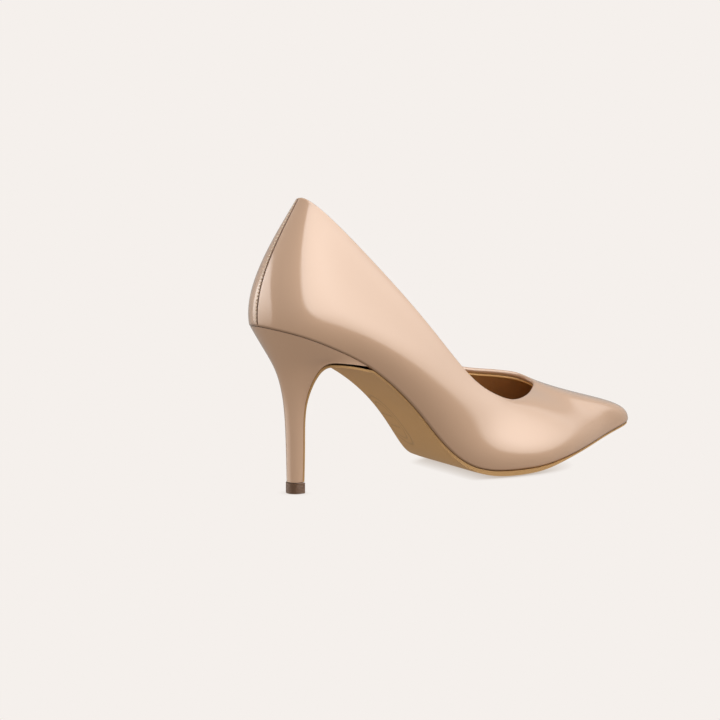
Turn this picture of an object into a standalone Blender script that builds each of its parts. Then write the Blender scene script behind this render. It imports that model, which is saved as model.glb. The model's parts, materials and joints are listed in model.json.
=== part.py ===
"""High heel pump, right foot, built as separate pieces in world metres, +X to the toe, +Z up.

The foot side of the shoe is one curved wall. It is described by ribs: each rib starts on the
feather line (where upper and sole meet), ends on the topline (the edge of the opening), and is a
cubic curve with one handle at each end. Every layer of the upper is a piece of that wall, moved
inwards by its depth. Every layer of the bottom is a sheet that follows the bottom profile.
Design lengths are in millimetres and are turned into metres when a mesh is made.
"""

import math

import bpy
import numpy as np
from mathutils import Vector

MM = 0.001
PIECES = "high_heel_pump"
CUTTERS = "high_heel_pump_cutters"

# Middle of the shoe's box in design lengths; the world origin is under it, on the floor.
CENTRE_X = 118.7
CENTRE_Y = 2.8

# Layers of the wall, as depths under the outer face.
UPPER_THICK = 1.1
STIFFENER_DEPTH = 1.6
STIFFENER_THICK = 0.7
TAPE_DEPTH = 1.8
TAPE_THICK = 0.4
LINING_DEPTH = 2.8
LINING_THICK = 0.8

# Layers of the bottom, as levels over the feather line.
GAP = 0.3
BOARD_LEVEL = UPPER_THICK + 0.5
BOARD_THICK = 2.0
BOARD_INSET = 2.2
CUSHION_LEVEL = BOARD_LEVEL + BOARD_THICK + GAP
CUSHION_THICK = 1.6
SOCK_LEVEL = CUSHION_LEVEL + CUSHION_THICK + GAP
SOCK_THICK = 0.7
SHANK_THICK = 0.9
FILLER_THICK = 0.9

# Heights along the wall, measured up from the feather line or down from the topline.
FEATHER_ROUND = 1.2
LINING_FOOT = 5.2
TOE_LINING_FOOT = 7.2
LINING_DROP = 1.2
TAPE_DROP = 1.6
TAPE_WIDTH = 4.0
STIFFENER_DROP = 7.0

# Bottom profile: x from the back of the heel, z over the floor.
BOTTOM_PROFILE = [
    (-2, 84), (10, 79.8), (30, 71.4), (55, 58.6), (80, 38.5), (98, 19.4), (112, 9.1), (128, 4.5),
    (145, 3.4), (165, 5.2), (190, 8.1), (215, 11.1), (240, 14.6),
]
WAIST_LIFT = 2.0
WAIST_FROM = 34
WAIST_RAMP = 40
WAIST_TO = 145
LIFT_WIDTH = 25

# Ribs from the back seam along the outer side to the toe, and back along the inner side:
# feather x, y | topline x, y, z | lower handle out, up | upper handle out, up | margin
RIBS = np.array([
    (-0.5, 0, 24.5, 0, 143, 1, 22, 14, -20, 11),
    (8, -18.5, 30.5, -8.5, 138.5, 6, 20, 3.5, -15, 11),
    (30, -24.5, 54, -18, 113.5, 10, 17, 0.5, -14, 11),
    (55, -25.5, 84, -25, 80.5, 12, 15, 0.5, -10, 10),
    (79, -25, 109.5, -27.5, 52.5, 11.5, 13, 1, -8, 9),
    (102, -26, 127, -27, 41, 10, 13, 3, -7, 9),
    (126, -32, 142, -23.5, 36.5, 7, 12, 7, -4, 11),
    (155, -35, 156, -17.5, 36.5, 5, 12, 11, -4, 12),
    (188, -26, 166.5, -10, 37.5, 3, 11, 16, -6, 11),
    (217, -13.5, 172, -5.5, 38.8, 1.5, 10, 25, -9, 7),
    (234.5, -6.5, 174.5, -2.5, 39.9, 1, 11, 33, -12, 3.2),
    (238, 0, 175.5, 0.5, 40.5, 1, 11, 34, -13, 4.5),
    (234.5, 6.5, 175.5, 4, 41.4, 1, 11, 33, -13, 3.2),
    (217, 16.5, 174.5, 7.5, 42.4, 1.5, 11, 26, -12, 7),
    (189, 31.5, 171, 11, 43.7, 3, 13, 17, -10, 11),
    (160, 41, 161, 17, 45.2, 5, 15, 12, -6, 12),
    (136, 37, 148, 23, 47, 9, 16, 7, -4, 11),
    (113, 23.5, 128, 27, 56, 19, 17, 3.5, -7, 9),
    (88, 13.5, 98, 25.5, 82.5, 25, 18, 2, -10, 7),
    (60, 18.5, 64, 20, 111.5, 19, 18, 1.5, -12, 9),
    (31, 23.5, 42, 14, 130.5, 10, 18, 2, -14, 11),
    (9.5, 17.5, 30, 7.8, 139.5, 5, 20, 7, -15, 11),
], dtype=float)

# Places round the wall, counted in ribs from the back seam; each rib gap is split in COLUMNS.
COLUMNS = 3
TOE_RIB = 11
BACK_SEAM_RIB = 22
MEDIAL_SEAM = (16.9, 17.3)
LATERAL_LINING_SEAM = (5.6, 5.2)
MEDIAL_LINING_SEAM = (16.3, 16.9)
COUNTER_REACH = (-3, 3.333)
PUFF_REACH = (8.333, 13.667)
PUFF_HEIGHT = 27
INTERLINING_REACH = (6.667, 15.667)
SLIT = 0.015

# Heel: the covered front edge from the wing tip to the foot of the stem, as x, half width, z.
HEEL_FRONT = [
    (47.5, 24.7, 61.5), (40, 24, 63), (32.5, 21, 64), (27, 14.3, 61),
    (24.6, 6.4, 45), (24.4, 4.7, 25), (24.4, 4.2, 5.6),
]
# Heel back: how far each height still stands out from the stem, and the share of the height.
HEEL_BACK = [(1, 1), (0.80, 0.91), (0.54, 0.80), (0.30, 0.685), (0.13, 0.54), (0.04, 0.33), (0, 0)]
SEAT_INSET = 0.5
STEM_FRONT = 24.4
STEM_HALF = 4.2
STEM_BACK_CENTRE = 23.1
STEM_Y = 0.8
STEM_FOOT = 5.6
COVER_THICK = 0.6
BLOCK_EDGE = 0.025
BLOCK_WING = 0.16
BLOCK_GAP = 0.45
TOP_PIECE_HEIGHT = 5.3
TOP_PIECE_RIM = 0.4
DOWEL_RADIUS = 0.6
TUBE_BORE = 0.9
TUBE_RADIUS = 1.3
TUBE_X = 22.2
TUBE_TOP = 56

# Outsole: x, thickness at the middle and at the edge, and how far it stands out from the feather line.
SOLE_GAP = 0.4
SOLE_FLAP_THICK = 0.8
SOLE_SECTIONS = [
    (51, 1.1, 1.1, -0.8), (95, 1.3, 1.1, -1), (125, 2.7, 2.3, 0.2), (145, 3.0, 2.0, 0.6),
    (170, 2.8, 0.9, 0.1), (200, 2.1, 0.7, -0.4), (240, 1.2, 0.7, -0.6),
]
SOLE_SHARES = (0, 0.07, 0.5, 0.93, 1)

# Fixings, as x, y on the seat.
SEAT_SCREW = (22, 0)
HEEL_NAILS = [(14, -5.5), (14, 5.5), (30, -8.5), (30, 8.5)]
SHANK_RIVETS = [(52, 0), (96, 0)]
SCREW_SIZE = (2.8, 0.8, 1.5, 15)
NAIL_SIZE = (1.6, 0.6, 0.8, 9)
RIVET_SIZE = (2.6, 0.6, 1.4, 3.1)
SHANK_FROM = 15
SHANK_TO = 117
SHANK_HALF = 4.5
BOARD_JOINT = 112


# ---------------------------------------------------------------- curves

def spline_slopes(knots, values):
    """Second derivatives of the natural cubic spline through the values."""
    count = len(knots)
    step = np.diff(knots)
    slope = np.diff(values, axis=0) / step[:, None]
    matrix = np.eye(count)
    right = np.zeros_like(values)
    for i in range(1, count - 1):
        matrix[i, i - 1:i + 2] = step[i - 1], 2 * (step[i - 1] + step[i]), step[i]
        right[i] = 6 * (slope[i] - slope[i - 1])
    return np.linalg.solve(matrix, right)


def spline(knots, values, at):
    """Natural cubic spline through values at knots, read at each number in at."""
    knots = np.asarray(knots, float)
    values = np.asarray(values, float).reshape(len(knots), -1)
    at = np.asarray(at, float)
    bend = spline_slopes(knots, values)
    cell = np.clip(np.searchsorted(knots, at, side="right") - 1, 0, len(knots) - 2)
    size = (knots[cell + 1] - knots[cell])[..., None]
    ahead = (knots[cell + 1] - at)[..., None]
    behind = (at - knots[cell])[..., None]
    cubic = (bend[cell] * ahead ** 3 + bend[cell + 1] * behind ** 3) / (6 * size)
    start = (values[cell] / size - bend[cell] * size / 6) * ahead
    end = (values[cell + 1] / size - bend[cell + 1] * size / 6) * behind
    return cubic + start + end


def bottom_height(x, y):
    """Height of the feather line surface; the waist lifts a little on the inner side."""
    x = np.asarray(x, float)
    profile = np.array(BOTTOM_PROFILE, float)
    height = spline(profile[:, 0], profile[:, 1], x)[..., 0]
    rise = np.clip((x - WAIST_FROM) / WAIST_RAMP, 0, 1) * np.clip((WAIST_TO - x) / WAIST_RAMP, 0, 1)
    return height + WAIST_LIFT * rise ** 2 * (3 - 2 * rise) * y / LIFT_WIDTH


def bottom_points(x, y, level):
    """Points of the bottom at (x, y), moved by level along the profile's upward normal."""
    slope = (bottom_height(x + 0.1, y) - bottom_height(x - 0.1, y)) / 0.2
    length = np.sqrt(1 + slope ** 2)
    height = bottom_height(x, y)
    return np.stack([x - level * slope / length, y + 0 * x, height + level / length], axis=-1)


# ---------------------------------------------------------------- the wall

LAP = 4


def rib_knots():
    """Distances of the ribs round the feather line, repeated LAP ribs past both ends."""
    feather = RIBS[:, :2]
    gaps = np.sqrt(np.linalg.norm(np.roll(feather, -1, axis=0) - feather, axis=1))
    knots = np.concatenate([[0], np.cumsum(gaps)])
    total = knots[-1]
    return np.concatenate([knots[-LAP - 1:-1] - total, knots, knots[1:LAP + 1] + total])


RIB_KNOTS = rib_knots()
RIB_ROWS = np.vstack([RIBS[-LAP:], RIBS, RIBS[:LAP + 1]])


def rib_values(rib):
    """The rib columns at fractional rib numbers; rib 0 and BACK_SEAM_RIB are the same place."""
    rib = np.asarray(rib, float)
    at = np.interp(rib, np.arange(-LAP, len(RIBS) + LAP + 1), RIB_KNOTS)
    return spline(RIB_KNOTS, RIB_ROWS, at)


def outward(rib, columns):
    """Level unit vector pointing away from the shoe, square to the line in those columns."""
    step = 0.01
    run = rib_values(rib + step)[..., columns] - rib_values(rib - step)[..., columns]
    away = np.stack([run[..., 1], -run[..., 0], 0 * run[..., 0]], axis=-1)
    return away / np.linalg.norm(away, axis=-1, keepdims=True)


def wall(rib, v):
    """Outer face of the upper at rib number and v, from the feather line (0) to the topline (1)."""
    values = rib_values(rib)
    foot = np.stack([values[..., 0], values[..., 1], bottom_height(values[..., 0], values[..., 1])], axis=-1)
    top = values[..., 2:5]
    up = np.array([0.0, 0.0, 1.0])
    low = foot + values[..., 5:6] * outward(rib, slice(0, 2)) + values[..., 6:7] * up
    high = top + values[..., 7:8] * outward(rib, slice(2, 4)) + values[..., 8:9] * up
    v = np.asarray(v, float)[..., None]
    w = 1 - v
    return foot * w ** 3 + 3 * low * v * w ** 2 + 3 * high * v ** 2 * w + top * v ** 3


def wall_normal(rib, v):
    """Outward unit normal of the wall, from small steps along and up it."""
    along = wall(rib + 0.02, v) - wall(rib - 0.02, v)
    upward = wall(rib, v + 0.005) - wall(rib, v - 0.005)
    normal = np.cross(along, upward)
    return normal / np.linalg.norm(normal, axis=-1, keepdims=True)


def height_to_v(rib, low, high, share):
    """The v at a share of the way from height low to height high, both in mm up the wall.

    A high of zero or less counts down from the topline."""
    samples = np.linspace(0, 1, 61)
    points = wall(rib[:, None], np.broadcast_to(samples, (len(rib), len(samples))))
    steps = np.linalg.norm(np.diff(points, axis=1), axis=2)
    heights = np.concatenate([np.zeros((len(rib), 1)), np.cumsum(steps, axis=1)], axis=1)
    result = np.empty(len(rib))
    for i, row in enumerate(heights):
        end = row[-1] + high if high <= 0 else high
        result[i] = np.interp(low + (end - low) * share, row, samples)
    return result


def wall_grid(start, stop, rows, low, high, depth):
    """Grid of wall points between two lines; start and stop hold the rib at foot and top."""
    columns = round(COLUMNS * (stop[0] - start[0]))
    across = np.linspace(0, 1, columns + 1)
    grid = np.empty((columns + 1, rows + 1, 3))
    for j, share in enumerate(np.linspace(0, 1, rows + 1) ** 1.3):
        first = start[0] + (start[1] - start[0]) * share
        last = stop[0] + (stop[1] - stop[0]) * share
        rib = first + (last - first) * across
        v = height_to_v(rib, low, high, share)
        grid[:, j] = wall(rib, v) - depth * wall_normal(rib, v)
    return grid


def margin_grid(start, stop, level):
    """Grid of the lasting margin, turned under from its inner edge to the feather line."""
    columns = round(COLUMNS * (stop[0] - start[0]))
    rib = np.linspace(start[0], stop[0], columns + 1)
    values = rib_values(rib)
    away = outward(rib, slice(0, 2))
    grid = []
    for share in (1, 0.5, 0):
        inset = FEATHER_ROUND + (values[:, 9] - FEATHER_ROUND) * share
        x = values[:, 0] - inset * away[:, 0]
        y = values[:, 1] - inset * away[:, 1]
        grid.append(bottom_points(x, y, level))
    return np.stack(grid, axis=1)


# ---------------------------------------------------------------- mesh helpers

def start_scene():
    """Empty scene with one collection for the pieces and one for the cutters."""
    for thing in list(bpy.data.objects):
        bpy.data.objects.remove(thing)
    for name in (PIECES, CUTTERS):
        collection = bpy.data.collections.new(name)
        bpy.context.scene.collection.children.link(collection)


def finish(name, colour, roughness, metallic=0.0):
    """A Principled material with one colour."""
    material = bpy.data.materials.new(name)
    material.use_nodes = True
    shader = material.node_tree.nodes["Principled BSDF"]
    shader.inputs["Base Color"].default_value = (*colour, 1)
    shader.inputs["Roughness"].default_value = roughness
    shader.inputs["Metallic"].default_value = metallic
    material.diffuse_color = (*colour, 1)
    return material


def world(points):
    """Design millimetres to world metres."""
    return (np.asarray(points, float) - (CENTRE_X, CENTRE_Y, 0)) * MM


def add_object(name, vertices, faces, material, collection=PIECES, smooth=True):
    """A mesh object from design points and faces."""
    mesh = bpy.data.meshes.new(name)
    mesh.from_pydata(world(vertices).tolist(), [], faces)
    mesh.validate()
    if material:
        mesh.materials.append(material)
    mesh.polygons.foreach_set("use_smooth", [smooth] * len(mesh.polygons))
    thing = bpy.data.objects.new(name, mesh)
    bpy.data.collections[collection].objects.link(thing)
    return thing


def grid_faces(columns, rows):
    """Quads of a grid of (columns + 1) by (rows + 1) points stored column by column."""
    faces = []
    for i in range(columns):
        for j in range(rows):
            corner = i * (rows + 1) + j
            faces.append((corner, corner + rows + 1, corner + rows + 2, corner + 1))
    return faces


def add_sheet(name, grid, thickness, side, material):
    """A sheet of even thickness; side is -1 to grow behind the grid and 1 to grow before it."""
    columns, rows = grid.shape[0] - 1, grid.shape[1] - 1
    thing = add_object(name, grid.reshape(-1, 3), grid_faces(columns, rows), material)
    solidify = thing.modifiers.new("thickness", "SOLIDIFY")
    solidify.thickness = thickness * MM
    solidify.offset = side
    solidify.use_even_offset = True
    return thing


def add_shell(name, outer, inner, material):
    """A closed shell between an outward-facing grid and the same grid moved inwards."""
    columns, rows = outer.shape[0] - 1, outer.shape[1] - 1
    half = (columns + 1) * (rows + 1)
    faces = grid_faces(columns, rows)
    faces += [tuple(half + corner for corner in reversed(face)) for face in faces]
    index = np.arange(half).reshape(columns + 1, rows + 1)
    border = np.concatenate([index[:-1, 0], index[-1, :-1], index[:0:-1, -1], index[0, :0:-1]]).tolist()
    for first, second in zip(border, border[1:] + border[:1]):
        faces.append((second, first, half + first, half + second))
    points = np.concatenate([outer.reshape(-1, 3), inner.reshape(-1, 3)])
    return add_object(name, points, faces, material)


def ring_faces(rings, count):
    """Faces of a stack of closed rings whose two ends are closed by strips across the ring."""
    faces = []
    for k in range(rings - 1):
        for i in range(count):
            j = (i + 1) % count
            faces.append((k * count + i, k * count + j, (k + 1) * count + j, (k + 1) * count + i))
    last = (rings - 1) * count
    for i in range(count // 2 - 1):
        strip = (i, i + 1, count - 2 - i, count - 1 - i)
        faces.append(tuple(reversed(strip)))
        faces.append(tuple(last + k for k in strip))
    return faces


def add_rings(name, rings, material):
    """A closed solid from an array of rings (ring, point, 3); the count of points is even."""
    count = rings.shape[1]
    return add_object(name, rings.reshape(-1, 3), ring_faces(len(rings), count), material)


def add_turned(name, profile, steps, place, material, collection=PIECES):
    """A turned solid; the profile holds radius and height down its outer side, from top to foot.

    A profile that keeps off the axis is closed into a loop."""
    points = [(radius, 0, height) for radius, height in profile]
    edges = [(i, i + 1) for i in range(len(points) - 1)]
    if profile[0][0] > 0:
        edges.append((len(points) - 1, 0))
    mesh = bpy.data.meshes.new(name)
    mesh.from_pydata([Vector(point) * MM for point in points], edges, [])
    if material:
        mesh.materials.append(material)
    thing = bpy.data.objects.new(name, mesh)
    thing.location = world(place)
    bpy.data.collections[collection].objects.link(thing)
    screw = thing.modifiers.new("turn", "SCREW")
    screw.steps = steps
    screw.render_steps = steps
    screw.use_merge_vertices = True
    screw.merge_threshold = 0.00005
    screw.use_normal_calculate = False
    screw.use_smooth_shade = True
    return thing


def rod_profile(radius, low, high):
    """Profile of a plain rod."""
    return [(0, high), (radius, high), (radius, low), (0, low)]


def add_cutter(name, profile, steps, place):
    """A turned cutter, hidden and drawn as wire."""
    cutter = add_turned(name, profile, steps, place, None, CUTTERS)
    cutter.hide_render = True
    cutter.display_type = "WIRE"
    return cutter


def cut(thing, cutter):
    """Take the cutter's shape out of the piece."""
    boolean = thing.modifiers.new(cutter.name, "BOOLEAN")
    boolean.operation = "DIFFERENCE"
    boolean.solver = "EXACT"
    boolean.object = cutter


# ---------------------------------------------------------------- upper

def add_upper(name, start, stop, material):
    """One outer piece: lasting margin, rounded feather edge and wall."""
    faces = []
    for depth in (0, UPPER_THICK):
        margin = margin_grid(start, stop, depth)
        side = wall_grid(start, stop, 9, FEATHER_ROUND, 0, depth)
        faces.append(np.concatenate([margin, side], axis=1))
    return add_shell(name, *faces, material)


def add_uppers(material):
    """The vamp with the outer quarter, and the inner quarter."""
    seam = np.array(MEDIAL_SEAM)
    add_upper("vamp", (SLIT, SLIT), seam - SLIT, material)
    add_upper("medial_quarter", seam + SLIT, (BACK_SEAM_RIB - SLIT,) * 2, material)


def add_layer(name, start, stop, rows, low, high, depth, thick, material):
    """One inner layer of the wall between two lines and two heights."""
    outer = wall_grid(start, stop, rows, low, high, depth)
    inner = wall_grid(start, stop, rows, low, high, depth + thick)
    return add_shell(name, outer, inner, material)


def add_stiffeners(stiff, cloth):
    """Counter, toe puff, interlining and topline tape between the upper and the lining."""
    depth = STIFFENER_DEPTH
    back, front = COUNTER_REACH
    add_layer("heel_counter", (back, back), (front, front), 6, LINING_FOOT, -STIFFENER_DROP, depth,
              STIFFENER_THICK, stiff)
    back, front = PUFF_REACH
    add_layer("toe_puff", (back, back), (front, front), 6, TOE_LINING_FOOT, PUFF_HEIGHT, depth,
              STIFFENER_THICK, stiff)
    back, front = INTERLINING_REACH
    add_layer("vamp_interlining", (back, back), (front, front), 3, PUFF_HEIGHT + 1, -STIFFENER_DROP,
              TAPE_DEPTH, TAPE_THICK, cloth)
    start, stop = (2 * SLIT,) * 2, (BACK_SEAM_RIB - 2 * SLIT,) * 2
    faces = []
    for layer in (TAPE_DEPTH, TAPE_DEPTH + TAPE_THICK):
        low = wall_grid(start, stop, 1, 0, -TAPE_DROP - TAPE_WIDTH, layer)[:, -1]
        high = wall_grid(start, stop, 1, 0, -TAPE_DROP, layer)[:, -1]
        faces.append(np.stack([low, high], axis=1))
    add_shell("topline_tape", *faces, cloth)


def add_linings(material):
    """Vamp lining and the two quarter linings."""
    lateral, medial = np.array(LATERAL_LINING_SEAM), np.array(MEDIAL_LINING_SEAM)
    shape = (-LINING_DROP, LINING_DEPTH, LINING_THICK, material)
    add_layer("lateral_quarter_lining", (SLIT, SLIT), lateral - SLIT, 6, LINING_FOOT, *shape)
    add_layer("vamp_lining", lateral + SLIT, medial - SLIT, 7, TOE_LINING_FOOT, *shape)
    add_layer("medial_quarter_lining", medial + SLIT, (BACK_SEAM_RIB - SLIT,) * 2, 6, LINING_FOOT, *shape)


# ---------------------------------------------------------------- bottom

def outline(inset, side):
    """The feather line of one side, as x and y rising with x.

    It is moved inwards by inset, a length or a function that gives the length at x."""
    if side == "lateral":
        rib = np.linspace(0, TOE_RIB, 160)
    else:
        rib = np.linspace(BACK_SEAM_RIB, TOE_RIB, 160)
    points = rib_values(rib)[:, :2]
    depth = inset(points[:, 0])[:, None] if callable(inset) else inset
    points = points - depth * outward(rib, slice(0, 2))[:, :2]
    order = np.argsort(points[:, 0])
    return points[order]


def edge_stations(start, stop, count, round_start, round_stop):
    """x stations from start to stop, closer together at an end that is round."""
    share = np.linspace(0, 1, count + 1)
    if round_start and round_stop:
        share = (1 - np.cos(math.pi * share)) / 2
    elif round_start:
        share = 1 - np.cos(math.pi / 2 * share)
    elif round_stop:
        share = np.sin(math.pi / 2 * share)
    return start + (stop - start) * share


def plan_grid(x, lateral, medial, rows, level):
    """Grid over the bottom from the lateral edge to the medial edge at each x."""
    share = np.linspace(0, 1, rows + 1)[None, :]
    y = lateral[:, None] * (1 - share) + medial[:, None] * share
    return bottom_points(np.broadcast_to(x[:, None], y.shape), y, level)


def inset_grid(inset, start, stop, count, rows, level, round_start=True, round_stop=True):
    """Grid inside the feather line moved inwards by inset, between two x stations."""
    lateral, medial = outline(inset, "lateral"), outline(inset, "medial")
    low = max(lateral[0, 0], medial[0, 0])
    high = min(lateral[-1, 0], medial[-1, 0])
    start = max(start, low + 0.15)
    stop = min(stop, high - 0.15)
    x = edge_stations(start, stop, count, round_start, round_stop)
    left = np.interp(x, lateral[:, 0], lateral[:, 1])
    right = np.interp(x, medial[:, 0], medial[:, 1])
    return plan_grid(x, left, right, rows, level)


def add_boards(board_material, shank_board_material):
    """Insole board of the forepart and shank board of the rear."""
    fore = inset_grid(BOARD_INSET, BOARD_JOINT + 3 * GAP, 400, 22, 4, BOARD_LEVEL, False, True)
    add_sheet("insole_board", fore, BOARD_THICK, 1, board_material)
    rear = inset_grid(BOARD_INSET, -50, BOARD_JOINT, 20, 4, BOARD_LEVEL, True, False)
    return add_sheet("shank_board", rear, BOARD_THICK, 1, shank_board_material)


def add_sock(cushion_material, sock_material):
    """Foam cushion and sock lining over the board."""
    cushion = inset_grid(4.6, -50, 213, 28, 4, CUSHION_LEVEL)
    add_sheet("sock_cushion", cushion, CUSHION_THICK, 1, cushion_material)
    sock = inset_grid(4.2, -50, 214, 30, 4, SOCK_LEVEL)
    add_sheet("sock_lining", sock, SOCK_THICK, 1, sock_material)


def add_shank(material):
    """The steel shank, a narrow strip under the shank board."""
    x = np.linspace(SHANK_FROM, SHANK_TO, 21)
    half = SHANK_HALF * np.minimum(1, 0.55 + np.minimum(x - SHANK_FROM, SHANK_TO - x) / 10)
    grid = plan_grid(x, -half, half, 2, 0.1)
    return add_sheet("steel_shank", grid, SHANK_THICK, 1, material)


def add_filler(material):
    """The forepart filler between the turned-in margins."""
    grid = inset_grid(13.2, 122, 205, 16, 2, 0.1, False, True)
    add_sheet("forepart_filler", grid, FILLER_THICK, 1, material)


def heel_front(count):
    """The heel's front edge from the wing tip to the stem foot: x, half width, z."""
    return spline(np.arange(len(HEEL_FRONT)), HEEL_FRONT, np.linspace(0, len(HEEL_FRONT) - 1, count))


def profile_offset(path, distance):
    """A path in the XZ plane moved to its right-hand side as seen from the -Y side.

    distance has one row for each point of the path and one column for each copy wanted."""
    run = np.gradient(path, axis=0)
    normal = np.stack([run[:, 1], -run[:, 0]], axis=-1)
    normal /= np.linalg.norm(normal, axis=1, keepdims=True)
    return path[:, None, :] + normal[:, None, :] * distance[..., None]


def sole_path():
    """Stations of the outsole's upper face, from the stem foot up the heel front to the toe.

    Each station holds x, z, lateral y, medial y, middle thickness and edge thickness."""
    front = heel_front(19)[::-1]
    sections = np.array(SOLE_SECTIONS)
    flap = np.linspace(SOLE_FLAP_THICK, sections[0, 1], len(front))[:, None]
    middle = STEM_Y * np.clip((62 - front[:, 2]) / 20, 0, 1)
    up = np.column_stack([front[:, 0], front[:, 2], middle - front[:, 1], middle + front[:, 1], flap, flap])
    lines = [outline(lambda x: -spline(sections[:, 0], sections[:, 3], x)[..., 0], side)
             for side in ("lateral", "medial")]
    toe = min(line[-1, 0] for line in lines) - 0.05
    x = edge_stations(sections[0, 0], toe, 34, False, True)
    middle_thick, edge_thick = spline(sections[:, 0], sections[:, 1:3], x).T
    edges = [np.interp(x, line[:, 0], line[:, 1]) for line in lines]
    along = np.column_stack([x, bottom_height(x, 0 * x), *edges, middle_thick, edge_thick])
    return np.vstack([up, along])


def add_outsole(material):
    """The outsole, running from the toe under the waist and down the front of the heel."""
    stations = sole_path()
    path = stations[:, :2]
    share = np.array(SOLE_SHARES)
    camber = 1 - np.abs(2 * share - 1) ** 6
    y = stations[:, 2:3] * (1 - share) + stations[:, 3:4] * share
    rise = bottom_height(path[:, :1], y) - bottom_height(path[:, :1], 0 * y)
    middle_thick, edge_thick = stations[:, 4:5], stations[:, 5:6]
    layers = []
    for depth in (0 * y, edge_thick + (middle_thick - edge_thick) * camber):
        line = profile_offset(path, SOLE_GAP + depth)
        layers.append(np.stack([line[..., 0], y, line[..., 1] + rise], axis=-1))
    top, low = layers
    rings = np.concatenate([low, top[:, ::-1]], axis=1)
    return add_rings("outsole", rings, material)


# ---------------------------------------------------------------- heel

def stem_ring(share, grow):
    """Section of the stem: flat front, round back; share runs from the outer front corner."""
    half = STEM_HALF + grow
    side = STEM_FRONT - STEM_BACK_CENTRE
    arc = math.pi * half
    run = np.asarray(share) * (2 * side + arc)
    angle = np.clip((run - side) / half, 0, math.pi)
    straight = np.clip(side - run, 0, side) + np.clip(run - side - arc, 0, side)
    x = STEM_BACK_CENTRE + straight - half * np.sin(angle)
    y = STEM_Y - half * np.cos(angle)
    return np.stack([x, y], axis=-1)


def wing_rib(x, side):
    """Rib number whose feather point lies at x on one side of the heel."""
    rib = np.linspace(0, 4, 200) if side == "lateral" else np.linspace(0, -4, 200)
    return np.interp(x, rib_values(rib)[:, 0], rib)


def heel_surface(share, down, depth=0.0):
    """A face of the heel, at a depth inside its outer face.

    share runs round it from the outer to the inner front edge. down runs from the seat (0) to the
    foot of the stem (the last key of the front edge). The face stays below the seat of the upper."""
    share, down = np.broadcast_arrays(share, down)
    front = np.array(HEEL_FRONT, float)
    outer, inner = wing_rib(front[0, 0], "lateral"), wing_rib(front[0, 0], "medial")
    rib = np.where(share < 0.5, outer * (1 - 2 * share), inner * (2 * share - 1))
    values = rib_values(rib)
    away = outward(rib, slice(0, 2))
    inset = SEAT_INSET + depth
    seat = bottom_points(values[..., 0] - inset * away[..., 0], values[..., 1] - inset * away[..., 1], -GAP)
    foot = stem_ring(share, -depth)
    keys = np.arange(len(HEEL_FRONT))
    back = spline(keys, HEEL_BACK, down)
    edge = spline(keys, (front - front[-1]) / (front[0] - front[-1]), down)
    weight = np.abs(2 * share - 1) ** 2
    x_share = back[..., 0] + (edge[..., 0] - back[..., 0]) * weight
    y_share = back[..., 0] + (edge[..., 1] - back[..., 0]) * weight
    z_share = back[..., 1] + (edge[..., 2] - back[..., 1]) * weight
    x = foot[..., 0] + (seat[..., 0] - foot[..., 0]) * x_share
    y = foot[..., 1] + (seat[..., 1] - foot[..., 1]) * y_share
    z = STEM_FOOT + (seat[..., 2] - STEM_FOOT) * z_share
    return np.stack([x, y, np.clip(z, STEM_FOOT, bottom_height(x, y) - 1.5 * GAP)], axis=-1)


def add_heel_cover(material):
    """The patent skin round the heel block."""
    share = np.linspace(0, 1, 25)[:, None]
    down = np.linspace(0, len(HEEL_FRONT) - 1, 16)[None, :]
    return add_shell("heel_cover", heel_surface(share, down), heel_surface(share, down, COVER_THICK), material)


def add_heel_block(material):
    """The moulded heel block inside its cover; its front edge starts behind the thin wing."""
    down = np.linspace(0, len(HEEL_FRONT) - 1, 16)[:, None]
    edge = BLOCK_EDGE + BLOCK_WING * np.clip(1 - down / 4, 0, 1)
    share = edge + (1 - 2 * edge) * np.linspace(0, 1, 26)[None, :]
    room = BLOCK_GAP * (1 + 2 * np.clip(2 - down, 0, 1))
    return add_rings("heel_block", heel_surface(share, down, COVER_THICK + room), material)


def add_top_piece(material, dowel_material):
    """The heel tip, with its dowel up the stem."""
    share = np.linspace(0, 1, 26)
    ring = stem_ring(share, TOP_PIECE_RIM)
    ring[:, 0] += np.where((share == 0) | (share == 1), SOLE_FLAP_THICK + GAP, 0)
    levels = [TOP_PIECE_HEIGHT, 0.4, 0]
    grown = [0, 0, -0.3]
    middle = np.array([STEM_BACK_CENTRE, STEM_Y])
    rings = []
    for level, grow in zip(levels, grown):
        factor = 1 + grow / STEM_HALF
        flat = middle + (ring - middle) * factor
        rings.append(np.column_stack([flat, np.full(len(flat), level)]))
    tip = add_rings("top_piece", np.array(rings), material)
    hole = add_cutter("dowel_hole", rod_profile(DOWEL_RADIUS + GAP, 2, 8), 16, (TUBE_X, STEM_Y, 0))
    cut(tip, hole)
    place = (TUBE_X, STEM_Y, 0)
    add_turned("top_piece_dowel", rod_profile(DOWEL_RADIUS, 2 + GAP, 30), 16, place, dowel_material)


def add_heel_tube(block, material):
    """The steel tube that stiffens the stem."""
    low = STEM_FOOT + 0.4
    place = (TUBE_X, STEM_Y, 0)
    profile = [(TUBE_BORE, TUBE_TOP), (TUBE_RADIUS, TUBE_TOP), (TUBE_RADIUS, low), (TUBE_BORE, low)]
    add_turned("heel_pin_tube", profile, 16, place, material)
    cutter = add_cutter("tube_hole", rod_profile(TUBE_RADIUS + GAP, 0, TUBE_TOP + GAP), 16, place)
    cut(block, cutter)


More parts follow.
